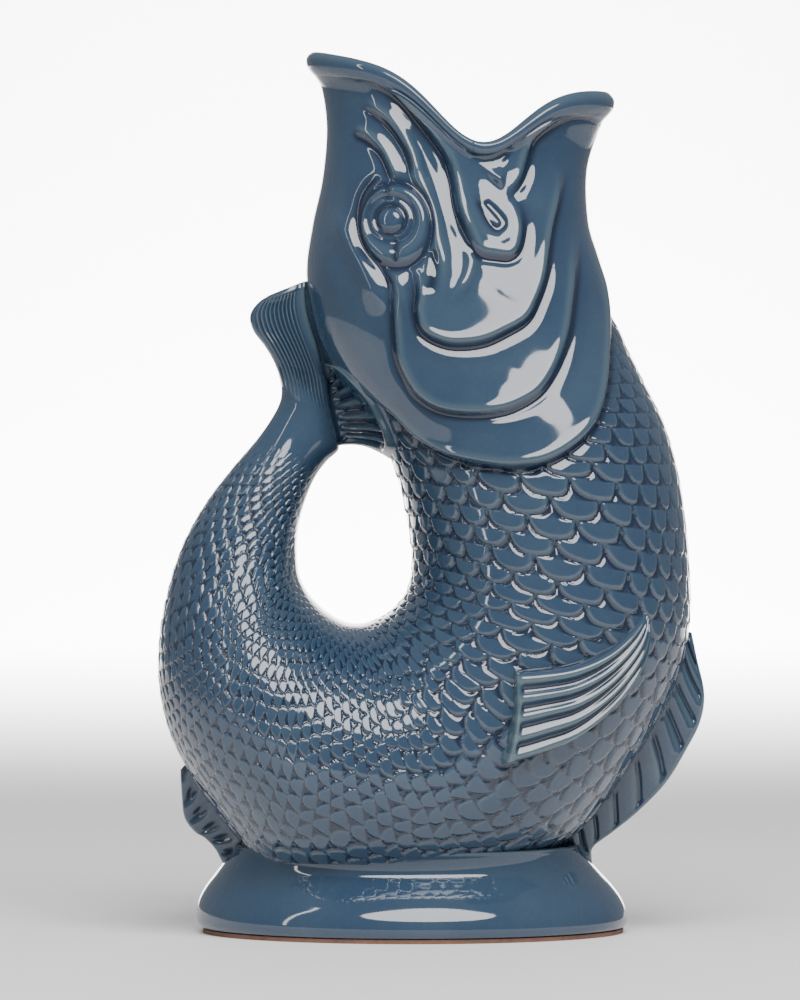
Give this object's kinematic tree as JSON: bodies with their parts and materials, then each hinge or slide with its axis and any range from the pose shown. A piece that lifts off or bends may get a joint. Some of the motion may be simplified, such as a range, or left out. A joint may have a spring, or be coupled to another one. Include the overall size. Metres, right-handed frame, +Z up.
{
  "type": "gurgle jug",
  "caption": "Fish-shaped pouring jug that stands on an oval pedestal, with an open mouth as spout and a hollow curled tail as handle.",
  "frame": {"origin": "centre of the oval foot, on the surface that the jug stands on", "axes": "+Z up; +X towards the lower lip and belly fin, with the tail handle at -X; -Y is the fish's right side"},
  "size_m": [0.1556, 0.1098, 0.25],
  "materials": {
    "glaze": "glossy slate-blue glaze over moulded earthenware, darker where it pools in the grooves",
    "eye_glaze": "glossy slate-blue glaze, thick round the eye",
    "fin_glaze": "glossy slate-blue glaze, thin and paler on the ribs",
    "bare_clay": "unglazed fired clay, matt and slightly gritty"
  },
  "bodies": {
    "root": {"foot_ring": "bare_clay", "pedestal": "glaze", "body": "glaze", "head": "glaze", "upper_lip": "glaze", "lower_lip": "glaze", "right_jaw_lobe": "glaze", "left_jaw_lobe": "glaze", "right_eye": "eye_glaze", "left_eye": "eye_glaze", "right_cheek_plate": "glaze", "left_cheek_plate": "glaze", "right_gill_cover": "glaze", "left_gill_cover": "glaze", "right_side_fin": "fin_glaze", "left_side_fin": "fin_glaze", "belly_fin": "fin_glaze", "anal_fin": "fin_glaze", "tail_handle": "glaze", "tail_upper_lobe": "fin_glaze", "tail_lower_lobe": "fin_glaze"}
  },
  "joints": []
}
